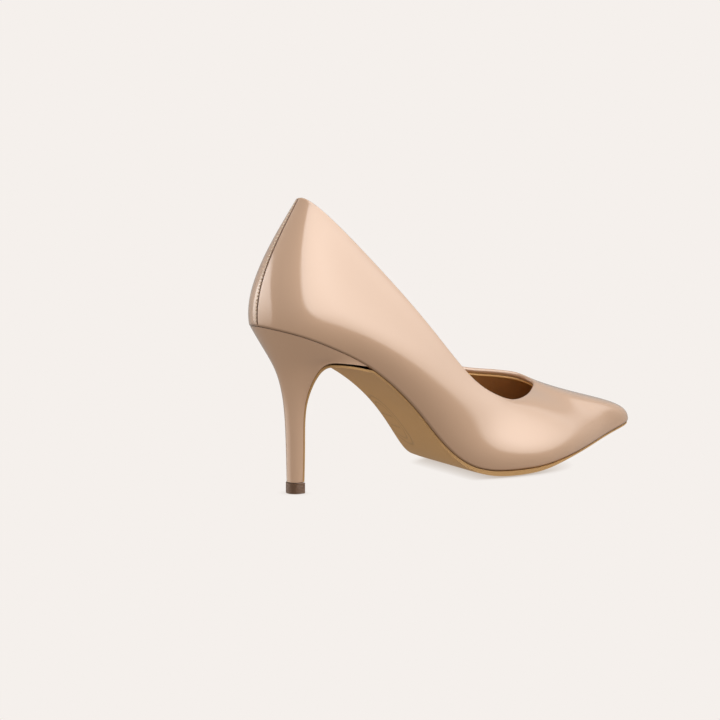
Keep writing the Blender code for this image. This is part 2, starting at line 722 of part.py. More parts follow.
def add_fixing(name, spot, size, hosts, material):
    """A headed pin let into the board at a spot, square to the seat, with its hole in each host."""
    head_radius, head_thick, radius, length = size
    x, y = spot
    place = bottom_points(np.array(float(x)), np.array(float(y)), BOARD_LEVEL + BOARD_THICK)
    slope = bottom_height(x + 0.5, y) - bottom_height(x - 0.5, y)
    sunk = 0.2
    head_foot = sunk + head_thick
    profile = [(0, -sunk), (head_radius, -sunk), (head_radius, -head_foot), (radius, -head_foot),
               (radius, -length), (0, -length)]
    pin = add_turned(name, profile, 12, place, material)
    hole = [(0, 1), (head_radius + GAP, 1), (head_radius + GAP, -head_foot - GAP),
            (radius + GAP, -head_foot - GAP), (radius + GAP, -length - GAP), (0, -length - GAP)]
    cutter = add_cutter(name + "_hole", hole, 12, place)
    for thing in (pin, cutter):
        thing.rotation_euler = (0, -math.atan(slope), 0)
    for host in hosts:
        cut(host, cutter)


def main():
    """Build every piece of the shoe."""
    start_scene()
    patent = finish("nude_patent", (0.62, 0.42, 0.31), 0.12)
    lining = finish("brown_lining", (0.20, 0.08, 0.02), 0.6)
    tan = finish("tan_sole", (0.36, 0.21, 0.10), 0.45)
    board = finish("fibre_board", (0.45, 0.33, 0.20), 0.9)
    foam = finish("latex_foam", (0.75, 0.70, 0.58), 0.95)
    stiff = finish("stiffener", (0.80, 0.76, 0.66), 0.85)
    cloth = finish("backing_cloth", (0.70, 0.66, 0.58), 0.9)
    plastic = finish("heel_plastic", (0.78, 0.74, 0.66), 0.5)
    rubber = finish("tip_rubber", (0.15, 0.08, 0.04), 0.55)
    steel = finish("steel", (0.55, 0.55, 0.56), 0.3, 1.0)
    add_uppers(patent)
    add_stiffeners(stiff, cloth)
    add_linings(lining)
    rear_board = add_boards(board, board)
    add_sock(foam, lining)
    shank = add_shank(steel)
    add_filler(foam)
    add_outsole(tan)
    add_heel_cover(patent)
    block = add_heel_block(plastic)
    add_heel_tube(block, steel)
    add_fixing("heel_seat_screw", SEAT_SCREW, SCREW_SIZE, (rear_board, shank, block), steel)
    for i, spot in enumerate(HEEL_NAILS):
        add_fixing(f"heel_nail_{i + 1}", spot, NAIL_SIZE, (rear_board, block), steel)
    for i, spot in enumerate(SHANK_RIVETS):
        add_fixing(f"shank_rivet_{i + 1}", spot, RIVET_SIZE, (rear_board, shank), steel)
    add_top_piece(rubber, steel)


main()
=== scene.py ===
"""High heel pump: the shown leather, heel and sole, with their finishes, stage and camera.

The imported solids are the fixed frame. The pieces that show are made again here as fine surfaces
from the same design: a wall of ribs, a bottom profile and a lofted heel, all in millimetres, and
moved onto the frame's own boxes.
"""

import json
import math

import bpy
import numpy as np
from bpy.props import FloatProperty, FloatVectorProperty, IntProperty, PointerProperty
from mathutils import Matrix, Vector


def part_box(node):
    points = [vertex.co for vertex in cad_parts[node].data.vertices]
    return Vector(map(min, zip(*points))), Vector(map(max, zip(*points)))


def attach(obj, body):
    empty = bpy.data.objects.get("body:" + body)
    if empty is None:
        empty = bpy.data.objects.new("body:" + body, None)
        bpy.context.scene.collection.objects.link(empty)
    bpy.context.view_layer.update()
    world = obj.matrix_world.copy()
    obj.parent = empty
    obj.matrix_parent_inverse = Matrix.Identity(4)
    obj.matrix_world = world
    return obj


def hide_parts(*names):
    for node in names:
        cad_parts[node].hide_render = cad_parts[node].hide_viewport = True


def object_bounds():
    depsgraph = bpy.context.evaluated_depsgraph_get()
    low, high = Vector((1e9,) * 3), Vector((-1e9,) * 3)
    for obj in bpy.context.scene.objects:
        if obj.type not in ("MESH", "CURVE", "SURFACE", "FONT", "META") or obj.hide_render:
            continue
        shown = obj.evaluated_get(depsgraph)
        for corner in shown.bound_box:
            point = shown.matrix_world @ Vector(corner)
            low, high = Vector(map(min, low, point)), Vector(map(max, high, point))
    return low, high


bl_info = {
    "name": "High Heel Pump",
    "version": (1, 0, 0),
    "blender": (4, 5, 0),
    "location": "View3D > Sidebar > Pump",
    "description": "Builds the leather, heel, sole and stage of a high heel pump",
    "category": "Object",
}

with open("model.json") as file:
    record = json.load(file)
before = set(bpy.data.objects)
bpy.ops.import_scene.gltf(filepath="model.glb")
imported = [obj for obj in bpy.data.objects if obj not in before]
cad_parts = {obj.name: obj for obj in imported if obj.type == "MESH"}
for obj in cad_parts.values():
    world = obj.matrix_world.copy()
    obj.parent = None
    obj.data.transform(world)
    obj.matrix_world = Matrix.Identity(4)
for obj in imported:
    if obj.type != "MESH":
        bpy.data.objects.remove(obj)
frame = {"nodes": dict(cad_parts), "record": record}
CAD_LOW, CAD_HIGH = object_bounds()
SLOTS = {part["node"]: part["material_slot"] for part in frame["record"]["subparts"]}

MM = 0.001

# Ribs from the back seam along the outer side to the toe, and back along the inner side:
# feather x, y | topline x, y, z | lower handle out, up | upper handle out, up | margin
RIBS = np.array([
    (-0.5, 0, 24.5, 0, 143, 1, 22, 14, -20, 11),
    (8, -18.5, 30.5, -8.5, 138.5, 6, 20, 3.5, -15, 11),
    (30, -24.5, 54, -18, 113.5, 10, 17, 0.5, -14, 11),
    (55, -25.5, 84, -25, 80.5, 12, 15, 0.5, -10, 10),
    (79, -25, 109.5, -27.5, 52.5, 11.5, 13, 1, -8, 9),
    (102, -26, 127, -27, 41, 10, 13, 3, -7, 9),
    (126, -32, 142, -23.5, 36.5, 7, 12, 7, -4, 11),
    (155, -35, 156, -17.5, 36.5, 5, 12, 11, -4, 12),
    (188, -26, 166.5, -10, 37.5, 3, 11, 16, -6, 11),
    (217, -13.5, 172, -5.5, 38.8, 1.5, 10, 25, -9, 7),
    (234.5, -6.5, 174.5, -2.5, 39.9, 1, 11, 33, -12, 3.2),
    (238, 0, 175.5, 0.5, 40.5, 1, 11, 34, -13, 4.5),
    (234.5, 6.5, 175.5, 4, 41.4, 1, 11, 33, -13, 3.2),
    (217, 16.5, 174.5, 7.5, 42.4, 1.5, 11, 26, -12, 7),
    (189, 31.5, 171, 11, 43.7, 3, 13, 17, -10, 11),
    (160, 41, 161, 17, 45.2, 5, 15, 12, -6, 12),
    (136, 37, 148, 23, 47, 9, 16, 7, -4, 11),
    (113, 23.5, 128, 27, 56, 19, 17, 3.5, -7, 9),
    (88, 13.5, 98, 25.5, 82.5, 25, 18, 2, -10, 7),
    (60, 18.5, 64, 20, 111.5, 19, 18, 1.5, -12, 9),
    (31, 23.5, 42, 14, 130.5, 10, 18, 2, -14, 11),
    (9.5, 17.5, 30, 7.8, 139.5, 5, 20, 7, -15, 11),
], dtype=float)
HANDLES = RIBS[:, 5:9]
RIBS[:, 5:9] = (np.roll(HANDLES, 1, axis=0) + 4 * HANDLES + np.roll(HANDLES, -1, axis=0)) / 6
LAP = 4
TOE_RIB = 11
BACK_SEAM_RIB = 22
MEDIAL_SEAM = (16.9, 17.3)

# Bottom profile: x from the back of the heel, z over the floor.
BOTTOM_PROFILE = np.array([
    (-2, 84), (10, 79.8), (30, 71.4), (55, 58.6), (80, 38.5), (98, 19.4), (112, 9.1), (128, 4.5),
    (145, 3.4), (165, 5.2), (190, 8.1), (215, 11.1), (240, 14.6),
], dtype=float)
WAIST_LIFT = 2.0
WAIST_FROM = 34
WAIST_RAMP = 40
WAIST_TO = 145
LIFT_WIDTH = 25

# Upper and lining.
UPPER_THICK = 1.1
FOLD_THICK = 2.2
FOLD_FROM = 8.0
FOLD_RAMP = 1.6
FOLD_ROUND = 0.8
WALL_ROWS = 54
ROWS_TO_TOPLINE = 1.15
MARGIN_INSETS = (3.0, 2.0)
FEATHER_ROUND = 1.2
EDGE_ROLL = 0.6
LINING_DEPTH = 2.35
LINING_THICK = 0.9
LINING_DROP = 1.5
LINING_FOOT = 4.6
LINING_ROWS = 40
LINING_RIM = 3
# Painted shade beside the seams and along the feather edge: its width, its colour and its strength at the
# feather.
SEAM_SHADE_WIDTH = 0.32
SEAM_SHADE_COLOUR = (0.11, 0.045, 0.02, 1)
FEATHER_SHADE = 0.35
SEAM_SLIT = 0.008
COLUMNS_PER_RIB = 14

# Sole and sock; the stamp under the waist is in metres.
SOLE_GAP = 0.2
SOLE_EDGE = 0.2
SOLE_FLAP_THICK = 0.8
SOLE_ACROSS = 25
SOLE_SECTIONS = np.array([
    (51, 1.1, 1.1, -0.8), (95, 1.3, 1.1, -1), (125, 2.7, 2.3, 0.2), (145, 3.0, 2.0, 0.6),
    (170, 2.8, 0.9, 0.1), (200, 2.1, 0.7, -0.4), (240, 1.2, 0.7, -0.6),
])
STAMP_X = -0.030
STAMP_Y = 0.004
STAMP_HALF_LENGTH = 0.0125
STAMP_HALF_WIDTH = 0.0075
SOCK_LEVEL = 5.8
SOCK_THICK = 0.7
SOCK_EDGE = 0.25
SOCK_UNDER_LINING = 0.3
SOCK_TO = 214

# Heel.
HEEL_FRONT = np.array([
    (47.5, 24.7, 61.5), (40, 24, 63), (32.5, 21, 64), (27, 14.3, 61),
    (24.6, 6.4, 45), (24.4, 4.7, 25), (24.4, 4.2, 5.6),
])
HEEL_BACK = np.array([
    (1, 1), (0.80, 0.91), (0.54, 0.80), (0.30, 0.685), (0.13, 0.54), (0.04, 0.33), (0, 0),
])
HEEL_KEYS = len(HEEL_FRONT) - 1
SEAT_GAP = 0.12
SEAT_INSET = 0.5
STEM_FRONT = 24.4
STEM_HALF = 4.2
STEM_BACK_CENTRE = 23.1
STEM_Y = 0.8
STEM_FOOT = 5.6
COVER_THICK = 0.6
COVER_EDGE = 0.22
TOP_PIECE_HEIGHT = 5.3
TOP_PIECE_RIM = 0.4
TOP_PIECE_OUT = 0.3
TOP_PIECE_ROUND = 0.35
TOP_PIECE_GROOVES = 7
TOP_PIECE_GROOVE_DEPTH = 0.10

# Back seam stitches: sides, their part of the pitch, distance beside the seam and from its two ends.
STITCH_SIDES = 6
STITCH_SHARE = 0.68
STITCH_ASIDE = 0.95
STITCH_LOW = 2.5
STITCH_HIGH = 1.8

# Camera and stage, in degrees and metres.
CAMERA_TURN = 39.5
CAMERA_DROP = 8.59
CAMERA_DISTANCE = 2.25
CAMERA_AIM = (-0.0761, -0.0277, 0.0660)
CAMERA_LENS = 234.5
LIGHT_DISTANCE = 1.15
KEY_DIRECTION = (75, 42)
KEY_SIZE = (1.2, 1.0)
FLOOR_RADIUS = 3.0
BACKDROP_RADIUS = 9.0
# Painted contact shadow under the shoe: how far it reaches and its colour.
CONTACT_SHADOW_REACH = 0.005
CONTACT_SHADOW_COLOUR = (0.50, 0.43, 0.37, 1)

# Reflected softboxes: strength, bearing and half width, height and half height.
SOFTBOXES = (
    (0.75, -95, 37, -2, 34),
    (1.00, 76, 61, 34, 42),
)
SOFTBOX_BLUR = 0.14


# ---------------------------------------------------------------- the design's curves

def natural_bend(knots, values):
    """Second derivatives of the natural cubic spline through the values."""
    step = np.diff(knots)
    slope = np.diff(values, axis=0) / step[:, None]
    matrix = np.eye(len(knots))
    right = np.zeros_like(values)
    inner = np.arange(1, len(knots) - 1)
    matrix[inner, inner - 1] = step[:-1]
    matrix[inner, inner] = 2 * (step[:-1] + step[1:])
    matrix[inner, inner + 1] = step[1:]
    right[1:-1] = 6 * np.diff(slope, axis=0)
    return np.linalg.solve(matrix, right)


class Spline:
    """Natural cubic spline through values at knots; called with numbers, it reads the curve there."""

    def __init__(self, knots, values):
        self.knots = np.asarray(knots, float)
        self.values = np.asarray(values, float).reshape(len(self.knots), -1)
        self.bend = natural_bend(self.knots, self.values)

    def __call__(self, at):
        at = np.asarray(at, float)
        cell = np.clip(np.searchsorted(self.knots, at, side="right") - 1, 0, len(self.knots) - 2)
        size = (self.knots[cell + 1] - self.knots[cell])[..., None]
        ahead = (self.knots[cell + 1] - at)[..., None]
        behind = (at - self.knots[cell])[..., None]
        cubic = (self.bend[cell] * ahead ** 3 + self.bend[cell + 1] * behind ** 3) / (6 * size)
        start = (self.values[cell] / size - self.bend[cell] * size / 6) * ahead
        end = (self.values[cell + 1] / size - self.bend[cell + 1] * size / 6) * behind
        return cubic + start + end


def rib_knots():
    """Places of the ribs round the feather line: the square root of each gap, added up."""
    feather = RIBS[:, :2]
    gaps = np.sqrt(np.linalg.norm(np.roll(feather, -1, axis=0) - feather, axis=1))
    knots = np.concatenate([[0], np.cumsum(gaps)])
    return np.concatenate([knots[-LAP - 1:-1] - knots[-1], knots, knots[1:LAP + 1] + knots[-1]])


RIB_KNOTS = rib_knots()
RIB_SPLINE = Spline(RIB_KNOTS, np.vstack([RIBS[-LAP:], RIBS, RIBS[:LAP + 1]]))
PROFILE = Spline(BOTTOM_PROFILE[:, 0], BOTTOM_PROFILE[:, 1])
SOLE_SHAPE = Spline(SOLE_SECTIONS[:, 0], SOLE_SECTIONS[:, 1:])
HEEL_EDGE = Spline(np.arange(HEEL_KEYS + 1), HEEL_FRONT)
HEEL_EDGE_SHARE = Spline(
    np.arange(HEEL_KEYS + 1), (HEEL_FRONT - HEEL_FRONT[-1]) / (HEEL_FRONT[0] - HEEL_FRONT[-1]))
HEEL_BACK_SHARE = Spline(np.arange(HEEL_KEYS + 1), HEEL_BACK)


def smooth_step(value):
    """0 below 0, 1 above 1, and an even S between them."""
    value = np.clip(value, 0, 1)
    return value * value * (3 - 2 * value)


def rib_values(rib):
    """The design's numbers at fractional rib numbers; the last rib is the first one again."""
    return RIB_SPLINE(np.interp(rib, np.arange(-LAP, len(RIBS) + LAP + 1), RIB_KNOTS))


def outward(rib, columns):
    """Level unit vector square to the feather line (columns 0, 1) or to the topline (2, 3)."""
    run = rib_values(rib + 0.01)[..., columns] - rib_values(rib - 0.01)[..., columns]
    away = np.stack([run[..., 1], -run[..., 0], 0 * run[..., 0]], axis=-1)
    return away / np.linalg.norm(away, axis=-1, keepdims=True)


def bottom_height(x, y):
    """Height of the bottom: the profile at x, with a waist that rises to the inner side."""
    rise = np.clip((x - WAIST_FROM) / WAIST_RAMP, 0, 1) * np.clip((WAIST_TO - x) / WAIST_RAMP, 0, 1)
    return PROFILE(x)[..., 0] + WAIST_LIFT * smooth_step(rise) * y / LIFT_WIDTH


def bottom_slope(x, y):
    """Rise of the bottom for one millimetre of x."""
    return (bottom_height(x + 0.1, y) - bottom_height(x - 0.1, y)) / 0.2


def bottom_points(x, y, level):
    """Points over the bottom at (x, y), moved by level along the profile's upward normal."""
    slope = bottom_slope(x, y)
    length = np.sqrt(1 + slope ** 2)
    return np.stack([x - level * slope / length, y + 0 * x, bottom_height(x, y) + level / length], axis=-1)


def wall(rib, v):
    """The upper's outer face: at each rib a cubic curve from the feather line (0) to the topline (1)."""
    values = rib_values(rib)
    foot = np.stack([values[..., 0], values[..., 1], bottom_height(values[..., 0], values[..., 1])], axis=-1)
    top = values[..., 2:5]
    up = np.array([0.0, 0.0, 1.0])
    low = foot + values[..., 5:6] * outward(rib, slice(0, 2)) + values[..., 6:7] * up
    high = top + values[..., 7:8] * outward(rib, slice(2, 4)) + values[..., 8:9] * up
    v = np.asarray(v, float)[..., None]
    w = 1 - v
    return foot * w ** 3 + 3 * low * v * w ** 2 + 3 * high * v ** 2 * w + top * v ** 3


def wall_frame(rib, v):
    """Outward unit normal of the wall and the unit vector that points up along it."""
    along = wall(rib + 0.02, v) - wall(rib - 0.02, v)
    upward = wall(rib, v + 0.005) - wall(rib, v - 0.005)
    normal = np.cross(along, upward)
    normal /= np.linalg.norm(normal, axis=-1, keepdims=True)
    return normal, upward / np.linalg.norm(upward, axis=-1, keepdims=True)


def end_speeds(rib):
    """Millimetres of wall for one unit of v, at the feather line and at the topline."""
    values = rib_values(rib)
    return 3 * np.hypot(values[..., 5], values[..., 6]), 3 * np.hypot(values[..., 7], values[..., 8])


def frame_shift():
    """World place of the design's origin: it puts the wall's box on the frame's upper."""
    rib, v = np.meshgrid(np.linspace(0, BACK_SEAM_RIB, 200), np.linspace(0, 1, 40), indexing="ij")
    points = wall(rib, v)
    boxes = [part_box(name) for name in ("vamp", "medial_quarter")]
    low = np.min([tuple(box[0]) for box in boxes], axis=0)
    high = np.max([tuple(box[1]) for box in boxes], axis=0)
    middle = (points.min(axis=(0, 1)) + points.max(axis=(0, 1))) / 2 * MM
    return (low + high) / 2 - middle


SHIFT = frame_shift() * (1, 1, 0)


# ---------------------------------------------------------------- meshes

def grid_quads(columns, rows, wrap_columns=False, wrap_rows=False):
    """Quads of a grid of points stored column by column, wrapped round where asked."""
    i, j = np.meshgrid(np.arange(columns if wrap_columns else columns - 1),
                       np.arange(rows if wrap_rows else rows - 1), indexing="ij")
    i, j = i.ravel(), j.ravel()
    far, above = (i + 1) % columns, (j + 1) % rows
    return np.stack([i * rows + j, far * rows + j, far * rows + above, i * rows + above], axis=1)


def ladder(ring):
    """Quads that close a ring of point numbers by strips straight across it."""
    half = len(ring) // 2
    back = ring[::-1]
    return np.stack([ring[:half - 1], ring[1:half], back[1:half], back[:half - 1]], axis=1)


def add_mesh(name, points, quads, material, sharp=40, values=None):
    """A mesh piece on the frame from design points and quads.

    sharp is the angle in degrees past which an edge stays hard; values are per-point attributes."""
    mesh = bpy.data.meshes.new(name)
    points = np.asarray(points).reshape(-1, 3) * MM + SHIFT
    mesh.vertices.add(len(points))
    mesh.vertices.foreach_set("co", points.ravel())
    mesh.loops.add(quads.size)
    mesh.loops.foreach_set("vertex_index", quads.ravel())
    mesh.polygons.add(len(quads))
    mesh.polygons.foreach_set("loop_start", np.arange(0, quads.size, quads.shape[1]))
    mesh.polygons.foreach_set("use_smooth", np.ones(len(quads), bool))
    mesh.update(calc_edges=True)
    mesh.validate()
    mesh.set_sharp_from_angle(angle=math.radians(sharp))
    for label, numbers in (values or {}).items():
        attribute = mesh.attributes.new(label, "FLOAT", "POINT")
        attribute.data.foreach_set("value", np.broadcast_to(numbers, len(points)).astype(np.float32))
    mesh.materials.append(material)
    piece = bpy.data.objects.new(name, mesh)
    bpy.context.scene.collection.objects.link(piece)
    return piece


def settle(piece, slot, *nodes):
    """Puts a piece on the frame: it moves with the shoe and stands for the CAD nodes."""
    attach(piece, "root")
    if nodes:
        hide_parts(*nodes)
    return piece


def add_sweep(name, rings, material, closed=False, **options):
    """A solid from rings carried along a path, with the two ends closed by strips."""
    count, points = rings.shape[:2]
    quads = [grid_quads(count, points, wrap_columns=closed, wrap_rows=True)]
    if not closed:
        first = np.arange(points)
        quads += [ladder(first), ladder((count - 1) * points + first[::-1])]
    return add_mesh(name, rings, np.concatenate(quads), material, **options)


def add_bevel(piece, width, segments=2, angle=40):
    """Rounds a piece's hard edges."""
    bevel = piece.modifiers.new("rounded_edges", "BEVEL")
    bevel.width = width * MM
    bevel.segments = segments
    bevel.limit_method = "ANGLE"
    bevel.angle_limit = math.radians(angle)
    bevel.use_clamp_overlap = True
    return piece


# ---------------------------------------------------------------- materials

class Wire:
    """A socket's value in a material's graph, so that sums and products are written as expressions."""

    def __init__(self, graph, socket):
        self.graph = graph
        self.socket = socket

    def __add__(self, other):
        return self.graph.maths("ADD", self, other)

    def __sub__(self, other):
        return self.graph.maths("SUBTRACT", self, other)

    def __rsub__(self, other):
        return self.graph.maths("SUBTRACT", other, self)

    def __mul__(self, other):
        return self.graph.maths("MULTIPLY", self, other)

    def __truediv__(self, other):
        return self.graph.maths("DIVIDE", self, other)

    def __pow__(self, other):
        return self.graph.maths("POWER", self, other)

    def __abs__(self):
        return self.graph.maths("ABSOLUTE", self)

    __radd__ = __add__
    __rmul__ = __mul__

    def clamped(self):
        """The value held between 0 and 1."""
        return self.graph.maths("MINIMUM", self.graph.maths("MAXIMUM", self, 0.0), 1.0)

    def ramp(self, low, high):
        """0 at low, 1 at high, held outside."""
        return ((self - low) / (high - low)).clamped()

    def part(self, index):
        """One output of the same node by index."""
        return Wire(self.graph, self.socket.node.outputs[index])


class Graph:
    """Builds one material's nodes."""

    def __init__(self, name, world=None):
        self.owner = world or bpy.data.materials.new(name)
        self.owner.use_nodes = True
        self.tree = self.owner.node_tree
        self.tree.nodes.clear()

    def node(self, kind, settings=None, **inputs):
        """Adds a node of a type, with its settings, then the values or links of its sockets."""
        made = self.tree.nodes.new(kind)
        for key, value in (settings or {}).items():
            setattr(made, key, value)
        for key, value in inputs.items():
            numbered = key[0] == "i" and key[1:].isdigit()
            socket = made.inputs[int(key[1:]) if numbered else key.replace("_", " ")]
            if isinstance(value, Wire):
                self.tree.links.new(value.socket, socket)
            else:
                socket.default_value = value
        return Wire(self, made.outputs[0]) if made.outputs else None

    def maths(self, operation, *values):
        """A Math node."""
        inputs = {f"i{index}": value for index, value in enumerate(values)}
        return self.node("ShaderNodeMath", {"operation": operation}, **inputs)

    def mix(self, share, first, second):
        """A colour between two colours."""
        made = self.node("ShaderNodeMix", {"data_type": "RGBA"}, i0=share, i6=first, i7=second)
        return made.part(2)

    def place(self):
        """Object coordinates."""
        return self.node("ShaderNodeTexCoord").part(3)

    def axes(self, vector):
        """The three parts of a vector."""
        split = self.node("ShaderNodeSeparateXYZ", None, i0=vector)
        return split, split.part(1), split.part(2)

    def noise(self, scale, detail=3.0, rough=0.5, vector=None):
        """Noise between 0 and 1 over the object; scale is in cells to the metre."""
        return self.node("ShaderNodeTexNoise", None, Vector=vector or self.place(), Scale=scale,
                         Detail=detail, Roughness=rough)

    def value(self, label):
        """One of the piece's own per-point numbers."""
        return self.node("ShaderNodeAttribute", {"attribute_name": label}).part(2)

    def bump(self, height, distance, strength=1.0):
        """A normal from a height between 0 and 1; distance is its depth in metres."""
        return self.node("ShaderNodeBump", None, Strength=strength, Distance=distance, Height=height)

    def surface(self, **inputs):
        """A Principled shader on the material's output."""
        shader = self.node("ShaderNodeBsdfPrincipled", None, **inputs)
        self.node("ShaderNodeOutputMaterial", None, Surface=shader)
        return self.owner


def shade(colour, factor):
    """A colour made darker or lighter, with full alpha."""
    return tuple(min(1.0, part * factor) for part in colour[:3]) + (1.0,)


def patent_leather(name, colour, gloss):
    """Patent leather: an even coloured skin under a clear, nearly flat lacquer."""
    graph = Graph(name)
    cloud = graph.noise(18.0, 2.0)
    tone = graph.mix(cloud, shade(colour, 0.96), shade(colour, 1.04))
    # Painted shade: the skin turns dark brown next to the seams and along the feather edge, where the joints
    # fall into shade.
    tone = graph.mix(graph.value("seam_shade"), tone, SEAM_SHADE_COLOUR)
    swell = graph.noise(55.0, 2.0, 0.45)
    grain = graph.noise(900.0, 2.0, 0.5)
    height = swell * 0.9 + grain * 0.1
    return graph.surface(Base_Color=tone, Roughness=0.38, Coat_Weight=1.0, Coat_Roughness=gloss,
                         Coat_IOR=1.5, Normal=graph.bump(height, 0.00012, 0.35))


def lining_leather(name, colour):
    """Smooth lining leather with a fine grain; its cut rim is paler."""
    graph = Graph(name)
    cloud = graph.noise(40.0, 3.0)
    tone = graph.mix(cloud, shade(colour, 0.85), shade(colour, 1.15))
    rim = graph.value("rim")
    tone = graph.mix(rim, tone, shade(colour, 2.2))
    pores = graph.node("ShaderNodeTexVoronoi", None, Vector=graph.place(), Scale=1400.0)
    height = pores * 0.6 + graph.noise(600.0, 3.0) * 0.4
    return graph.surface(Base_Color=tone, Roughness=0.5, Normal=graph.bump(height, 0.00006, 0.5))


def sole_leather(name, colour, emboss):
    """Satin sole with a darker edge and a small stamped mark under the waist."""
    graph = Graph(name)
    x, y, _ = graph.axes(graph.place())
    across = (x - STAMP_X) / STAMP_HALF_LENGTH
    beside = (y - STAMP_Y) / STAMP_HALF_WIDTH
    ring_far = (across * across + beside * beside) ** 0.5
    ring = 1 - (abs(ring_far - 1.0) / 0.10).clamped()
    inner = 1 - (abs(ring_far - 0.72) / 0.06).clamped()
    bars = (1 - (abs(abs(across) - 0.22) / 0.07).clamped()) * (1 - ring_far.ramp(0.5, 0.58))
    mark = (ring + inner + bars).clamped()
    cloud = graph.noise(30.0, 4.0)
    tone = graph.mix(cloud, shade(colour, 0.9), shade(colour, 1.08))
    tone = graph.mix(mark * 0.35, tone, shade(colour, 0.45))
    tone = graph.mix(graph.value("edge"), tone, shade(colour, 0.8))
    scuff = graph.noise(220.0, 5.0, 0.6)
    height = scuff * 0.05 - mark * 0.5
    return graph.surface(Base_Color=tone, Roughness=scuff * 0.12 + 0.46, Specular_IOR_Level=0.35,
                         Normal=graph.bump(height + 0.5, emboss, 0.8))


def board_fibre(name, colour):
    """Pressed fibre board."""
    graph = Graph(name)
    fleck = graph.noise(700.0, 4.0, 0.7)
    tone = graph.mix(fleck, shade(colour, 0.7), shade(colour, 1.2))
    return graph.surface(Base_Color=tone, Roughness=0.9, Normal=graph.bump(fleck, 0.0001, 0.4))


def woven_cloth(name, colour):
    """Plain weave: two crossed waves over the object."""
    graph = Graph(name)
    x, y, z = graph.axes(graph.place())
    over = graph.maths("SINE", (x + z) * 9000.0)
    under = graph.maths("SINE", y * 9000.0)
    weave = over * under * 0.5 + 0.5
    tone = graph.mix(weave, shade(colour, 0.82), shade(colour, 1.08))
    return graph.surface(Base_Color=tone, Roughness=0.9, Normal=graph.bump(weave, 0.0001, 0.5))


def foam(name, colour):
    """Open-cell foam."""
    graph = Graph(name)
    cells = graph.node("ShaderNodeTexVoronoi", None, Vector=graph.place(), Scale=1100.0)
    tone = graph.mix(cells, shade(colour, 0.75), shade(colour, 1.1))
    return graph.surface(Base_Color=tone, Roughness=0.95, Normal=graph.bump(cells, 0.0002, 0.6))


def moulded_plastic(name, colour, roughness=0.45):
    """Moulded plastic or rubber with a faint grain."""
    graph = Graph(name)
    grain = graph.noise(1500.0, 2.0)
    cloud = graph.noise(60.0, 2.0)
    tone = graph.mix(cloud, shade(colour, 0.9), shade(colour, 1.1))
    return graph.surface(Base_Color=tone, Roughness=grain * 0.1 + roughness,
                         Normal=graph.bump(grain, 0.00003, 0.4))


def drawn_steel(name, colour):
    """Drawn steel with fine lines along the shoe."""
    graph = Graph(name)
    x, y, z = graph.axes(graph.place())
    stretched = graph.node("ShaderNodeCombineXYZ", None, X=x * 2.0, Y=y * 60.0, Z=z * 8.0)
    lines = graph.noise(40.0, 3.0, 0.6, stretched)
    tone = graph.mix(lines, shade(colour, 0.85), shade(colour, 1.1))
    return graph.surface(Base_Color=tone, Metallic=1.0, Roughness=lines * 0.15 + 0.25)


def waxed_thread(name, colour):
    """Waxed sewing thread, with a twist across each stitch."""
    graph = Graph(name)
    x, _, z = graph.axes(graph.place())
    twist = graph.maths("SINE", (z + x * 0.4) * 14000.0) * 0.5 + 0.5
    tone = graph.mix(twist, shade(colour, 0.8), shade(colour, 1.05))
    return graph.surface(Base_Color=tone, Roughness=0.6, Normal=graph.bump(twist, 0.00004, 0.5))


# ---------------------------------------------------------------- upper

def seam_columns(count):
    """Shares from 0 to 1 with extra columns next to both ends, for their rolled edges."""
    near = np.array([0, 0.0004, 0.001, 0.002, 0.0035, 0.006])
    even = np.linspace(0.01, 0.99, count)
    return np.concatenate([near, even, 1 - near[::-1]])


def edge_tuck(distance, roll):
    """How far a rolled edge sinks at a distance from its end: a quarter circle of radius roll."""
    reach = np.clip(roll - distance, 0, roll)
    return roll - np.sqrt(roll ** 2 - reach ** 2)


